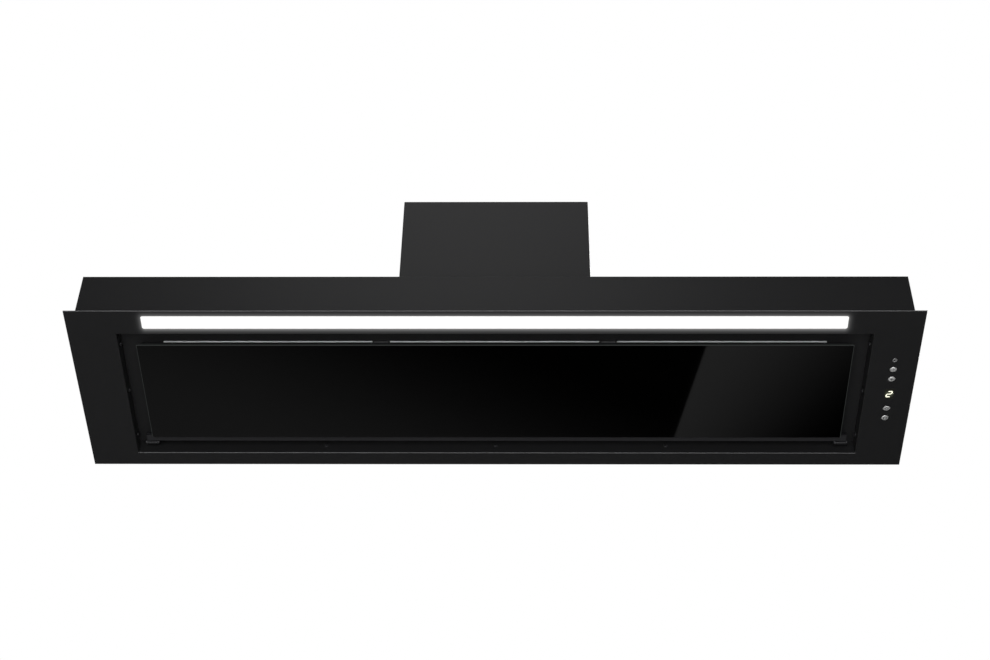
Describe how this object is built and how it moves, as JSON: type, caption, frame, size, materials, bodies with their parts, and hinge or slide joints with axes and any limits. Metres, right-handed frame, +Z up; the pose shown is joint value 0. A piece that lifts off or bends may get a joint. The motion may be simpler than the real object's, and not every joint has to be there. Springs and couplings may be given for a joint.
{
  "type": "built-in range hood",
  "caption": "Wide low canopy hood for a wall cabinet: hinged glass panel with edge suction over grease filters, light strip, push buttons, blower tower and duct collar.",
  "frame": {"origin": "middle of the face plate's underside, on the plane that faces the hob", "axes": "+X to the user's right, where the buttons are; +Y back to the wall; +Z up into the cabinet"},
  "size_m": [1.2, 0.31, 0.3225],
  "materials": {
    "black_plate": "satin black powder coat with a very fine grain",
    "black_body": "matt black powder coat",
    "black_screw": "black zinc pan heads",
    "black_glass": "polished black glass, printed black on its back",
    "black_tray": "matt black powder coat",
    "hinge_steel": "black passivated steel",
    "black_plastic": "fine matt moulded plastic",
    "magnet": "nickel-plated magnet",
    "zinc_steel": "bright zinc-plated sheet steel",
    "opal_plastic": "opal diffuser, lit from behind",
    "channel_aluminium": "extruded aluminium",
    "white_board": "white circuit board",
    "white_plastic": "matt white moulded plastic",
    "dark_lens": "smoked clear plastic, polished",
    "green_board": "green circuit board",
    "steel_screw": "bright zinc-plated screws",
    "grey_plastic": "matt grey moulded plastic",
    "steel_shaft": "ground steel",
    "blower_plastic": "matt moulded plastic",
    "impeller_plastic": "matt glass-filled plastic",
    "black_rubber": "soft black rubber",
    "capacitor_case": "moulded plastic can",
    "lead_sheath": "flexible cable sheath",
    "filter_aluminium": "satin anodised aluminium",
    "filter_mesh": "expanded aluminium mesh",
    "latch_steel": "brushed stainless steel",
    "button_metal": "bright metal caps"
  },
  "bodies": {
    "hood": {"blower_rails": "zinc_steel", "blower_screws": "steel_screw", "canopy_shell": "black_body", "capacitor": "capacitor_case", "catch_housings": "black_plastic", "catch_magnets": "magnet", "chassis_screws": "steel_screw", "control_board": "green_board", "control_cover": "black_plastic", "control_housing": "black_plastic", "control_lenses": "dark_lens", "damper_pin": "steel_shaft", "display_module": "white_plastic", "duct_collar": "black_plastic", "end_caps": "black_body", "face_plate": "black_plate", "filter_deck": "black_body", "filter_frame_centre": "filter_aluminium", "filter_frame_left": "filter_aluminium", "filter_frame_right": "filter_aluminium", "filter_mesh_centre": "filter_mesh", "filter_mesh_left": "filter_mesh", "filter_mesh_right": "filter_mesh", "hinge_brackets": "hinge_steel", "hinge_pins": "hinge_steel", "latch_cups": "grey_plastic", "lead_clips": "white_plastic", "light_board": "white_board", "light_channel": "channel_aluminium", "light_clips": "zinc_steel", "light_diffuser": "opal_plastic", "light_driver": "white_plastic", "mains_gland": "grey_plastic", "motor_body": "zinc_steel", "motor_bracket": "zinc_steel", "motor_tower": "black_body", "outlet_adapter": "blower_plastic", "recess_screws": "black_screw", "rubber_bushes": "black_rubber", "scroll_back": "blower_plastic", "scroll_front": "blower_plastic", "terminal_box": "white_plastic", "terminal_lid": "white_plastic", "tower_lid": "zinc_steel", "wiring_leads": "lead_sheath"},
    "panel": {"glass_pane": "black_glass", "panel_tray": "black_tray", "hinge_arms": "hinge_steel", "strike_plates": "zinc_steel"},
    "rotor": {"impeller": "impeller_plastic", "motor_shaft": "steel_shaft"},
    "flap_front": {"damper_flap_front": "grey_plastic"},
    "flap_back": {"damper_flap_back": "grey_plastic"},
    "power_button": {"power_button": "button_metal"},
    "light_button": {"light_button": "button_metal"},
    "faster_button": {"faster_button": "button_metal"},
    "slower_button": {"slower_button": "button_metal"},
    "latch_left": {"filter_latch_left": "latch_steel"},
    "latch_centre": {"filter_latch_centre": "latch_steel"},
    "latch_right": {"filter_latch_right": "latch_steel"}
  },
  "joints": [
    {"name": "panel_hinge", "type": "hinge", "parent": "hood", "child": "panel", "pos_m": [0, 0.1195, 0.012], "axis": [1, 0, 0], "range_deg": [0, 90]},
    {"name": "rotor_spin", "type": "hinge", "parent": "hood", "child": "rotor", "pos_m": [-0.0575, 0, 0.162], "axis": [0, 1, 0], "continuous": true},
    {"name": "flap_front_hinge", "type": "hinge", "parent": "hood", "child": "flap_front", "pos_m": [0, 0, 0.2945], "axis": [-1, 0, 0], "range_deg": [0, 75]},
    {"name": "flap_back_hinge", "type": "hinge", "parent": "hood", "child": "flap_back", "pos_m": [0, 0, 0.2945], "axis": [1, 0, 0], "range_deg": [0, 75]},
    {"name": "power_button_press", "type": "slide", "parent": "hood", "child": "power_button", "axis": [0, 0, 1], "range_m": [0, 0.0008], "stiffness_N_per_m": 600, "springref_m": -0.0008},
    {"name": "light_button_press", "type": "slide", "parent": "hood", "child": "light_button", "axis": [0, 0, 1], "range_m": [0, 0.0008], "stiffness_N_per_m": 600, "springref_m": -0.0008},
    {"name": "faster_button_press", "type": "slide", "parent": "hood", "child": "faster_button", "axis": [0, 0, 1], "range_m": [0, 0.0008], "stiffness_N_per_m": 600, "springref_m": -0.0008},
    {"name": "slower_button_press", "type": "slide", "parent": "hood", "child": "slower_button", "axis": [0, 0, 1], "range_m": [0, 0.0008], "stiffness_N_per_m": 600, "springref_m": -0.0008},
    {"name": "latch_left_slide", "type": "slide", "parent": "hood", "child": "latch_left", "axis": [0, 1, 0], "range_m": [0, 0.0055], "stiffness_N_per_m": 400, "springref_m": -0.003},
    {"name": "latch_centre_slide", "type": "slide", "parent": "hood", "child": "latch_centre", "axis": [0, 1, 0], "range_m": [0, 0.0055], "stiffness_N_per_m": 400, "springref_m": -0.003},
    {"name": "latch_right_slide", "type": "slide", "parent": "hood", "child": "latch_right", "axis": [0, 1, 0], "range_m": [0, 0.0055], "stiffness_N_per_m": 400, "springref_m": -0.003}
  ]
}
